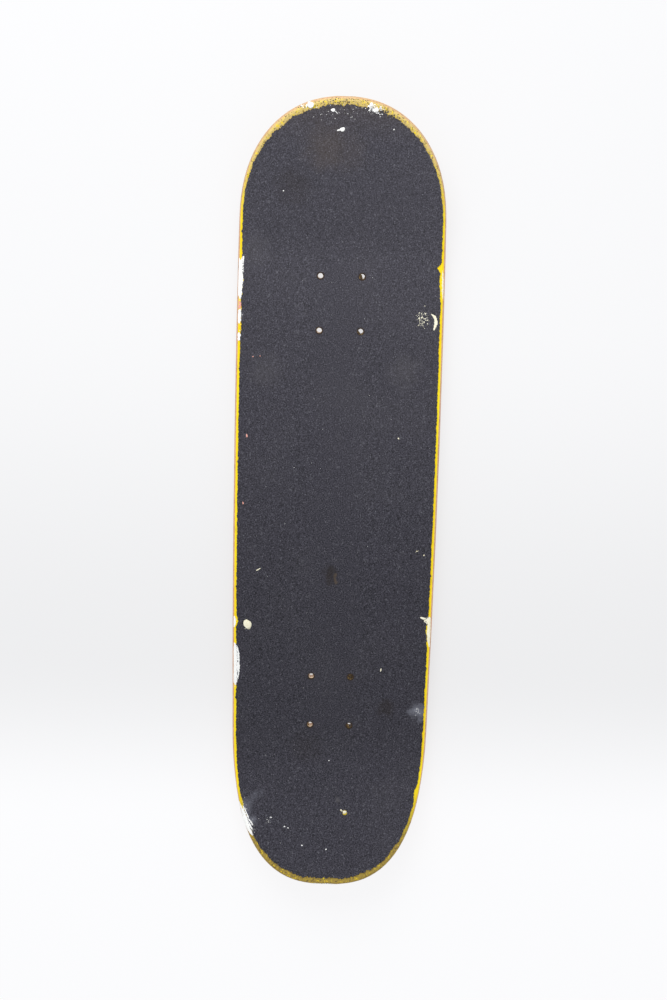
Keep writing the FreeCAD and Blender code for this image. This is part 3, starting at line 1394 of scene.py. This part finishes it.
PAINT_CLOUDS = (
    Scatter(370.2, 2.6, 0.0, 0.0, 1, 2.5),
    Scatter(387.3, 11.8, 0.0, 0.0, 1, 2.2),
    Scatter(391.4, 33.6, 1.4, 1.8, 7, 3.2),
    Scatter(389.6, 41.0, 0.8, 1.0, 3, 1.6),
    Scatter(391.0, 36.0, 4.0, 8.0, 70, 0.8),
    Scatter(391.0, -22.8, 1.4, 1.8, 6, 3.0),
    Scatter(388.0, -27.6, 1.8, 2.4, 8, 2.6),
    Scatter(388.4, -27.0, 5.0, 9.0, 110, 0.8),
    Scatter(385.0, 3.0, 9.0, 40.0, 60, 0.45),
    Scatter(312.6, 57.9, 0.0, 0.0, 1, 0.8),
    Scatter(371.0, -45.9, 0.0, 0.0, 1, 0.7),
    Scatter(-217.5, -91.5, 6.0, 4.0, 36, 0.4),
    Scatter(-178.0, 99.4, 20.0, 1.8, 60, 0.6),
    Scatter(214.0, 98.8, 34.0, 1.8, 70, 0.6),
    Scatter(-333.0, 88.0, 15.0, 4.0, 220, 0.5),
    Scatter(-341.0, 78.0, 9.0, 6.0, 50, 0.35),
    Scatter(-333.5, 59.1, 0.0, 0.0, 1, 1.0),
    Scatter(-336.0, 63.0, 5.0, 6.0, 16, 0.5),
    Scatter(-342.3, 44.5, 0.0, 0.0, 1, 0.9),
    Scatter(-343.6, 40.8, 0.0, 0.0, 1, 0.9),
    Scatter(-360.2, 25.5, 0.0, 0.0, 1, 0.9),
    Scatter(-363.4, 0.1, 0.0, 0.0, 1, 0.9),
    Scatter(-276.7, -0.5, 0.0, 0.0, 1, 0.6),
    Scatter(0.0, 0.0, 700.0, 170.0, 90, 0.32),
)
CREAM_STROKES = (
    Stroke(((197.0, -90.0), (194.8, -93.2), (190.6, -94.8), (185.6, -94.4), (181.2, -93.0)), 3.0, 0.3),
    Stroke(((-115.2, -91.0), (-116.6, -95.4), (-118.6, -102.0)), 2.6, 0.3),
    Stroke(((-116.0, -94.6), (-119.4, -98.0), (-123.0, -101.8)), 3.4, 0.3),
    Stroke(((-114.4, -98.0), (-117.0, -101.6)), 3.0, 0.3),
    Stroke(((-117.0, -100.6), (-126.0, -100.8), (-136.0, -101.0), (-147.0, -102.0)), 4.8, 0.25),
    Stroke(((240.0, -99.4), (228.0, -100.2), (212.0, -100.8)), 1.4, 0.6),
    Stroke(((70.2, -62.6), (71.6, -61.6)), 1.2, 0.4),
    Stroke(((-70.4, 79.6), (-68.0, 75.4)), 1.0, 0.4),
    Stroke(((-44.4, -86.6), (-46.2, -83.6)), 1.0, 0.4),
    Stroke(((-48.0, -92.9), (-49.4, -91.7)), 1.2, 0.4),
    Stroke(((-173.6, -52.6), (-177.0, -52.0)), 0.9, 0.4),
    Stroke(((-327.6, -18.6), (-325.4, -14.8)), 1.4, 0.4),
)
CREAM_CLOUDS = (
    Scatter(-128.2, 88.4, 0.0, 0.0, 1, 5.4),
    Scatter(-128.0, 87.6, 3.4, 3.4, 9, 2.6),
    Scatter(-327.6, -18.6, 0.0, 0.0, 1, 2.4),
    Scatter(-325.2, -14.4, 0.0, 0.0, 1, 1.3),
    Scatter(192.0, -82.0, 9.0, 7.0, 110, 0.6),
    Scatter(-130.0, -100.0, 14.0, 1.6, 40, 0.7),
    Scatter(226.0, -99.6, 14.0, 1.2, 26, 0.6),
)
GRIT_CLOUDS = (
    Scatter(395.6, 2.0, 3.0, 36.0, 150, 0.65),
    Scatter(386.8, -34.6, 2.0, 6.0, 34, 1.0),
    Scatter(382.6, -42.4, 2.4, 6.0, 30, 1.0),
    Scatter(389.6, 44.0, 2.4, 8.0, 26, 0.7),
)
PINK_STROKES = (
    Stroke(((205, 100.2), (201.8, 99.0), (197.5, 100.2)), 2.6, 0.4),
    Stroke(((150.8, 86.2), (149.8, 85.8)), 0.9, 0.4),
    Stroke(((151.4, 79.2), (150.4, 78.9)), 0.9, 0.4),
    Stroke(((72.2, 91.4), (68.8, 90.8)), 1.4, 0.4),
    Stroke(((2.4, 94.4), (-0.2, 93.8)), 1.3, 0.4),
)


def main() -> None:
    """Builds the deck, its wear and the studio, in order."""
    logging.basicConfig(level=logging.INFO, format="%(name)s %(message)s")
    Veneers().dress()
    layers = [node.data for name, node in frame["nodes"].items() if name != "grip_tape"]
    wood = Ground(*layers)
    tape = GripTape()
    sheet = tape.build(wood, GripFinish().build())
    place_piece(sheet, "grip_tape", "grip_tape")
    HoleLips(tape.bolt_holes).build(wood)
    ground = Ground(sheet.data, *layers)
    HolePlugs(tape.bolt_holes).build(wood)
    Smears("cream_strips", CREAM_STROKES, CREAM_FIBRE, "top_veneer").build(ground)
    Drops("cream_chips", CREAM_CLOUDS, CREAM_FIBRE, "top_veneer", seed=31).build(ground)
    Drops("grit_crumbs", GRIT_CLOUDS, TORN_GRIT, "grip_tape", seed=37).build(ground)
    Smears("pink_nicks", PINK_STROKES, PINK_FIBRE, "centre_core", seed=7).build(ground)
    # these white smears include the painted highlight on the tail's tip
    Smears("white_smears", PAINT_AND_HIGHLIGHT_STROKES, WHITE_PAINT_AND_HIGHLIGHT, "top_veneer", seed=9).build(ground)
    Drops("white_drops", PAINT_CLOUDS, WHITE_PAINT_AND_HIGHLIGHT, "top_veneer").build(ground)
    Studio().build()


if __name__ == "__main__":
    main()
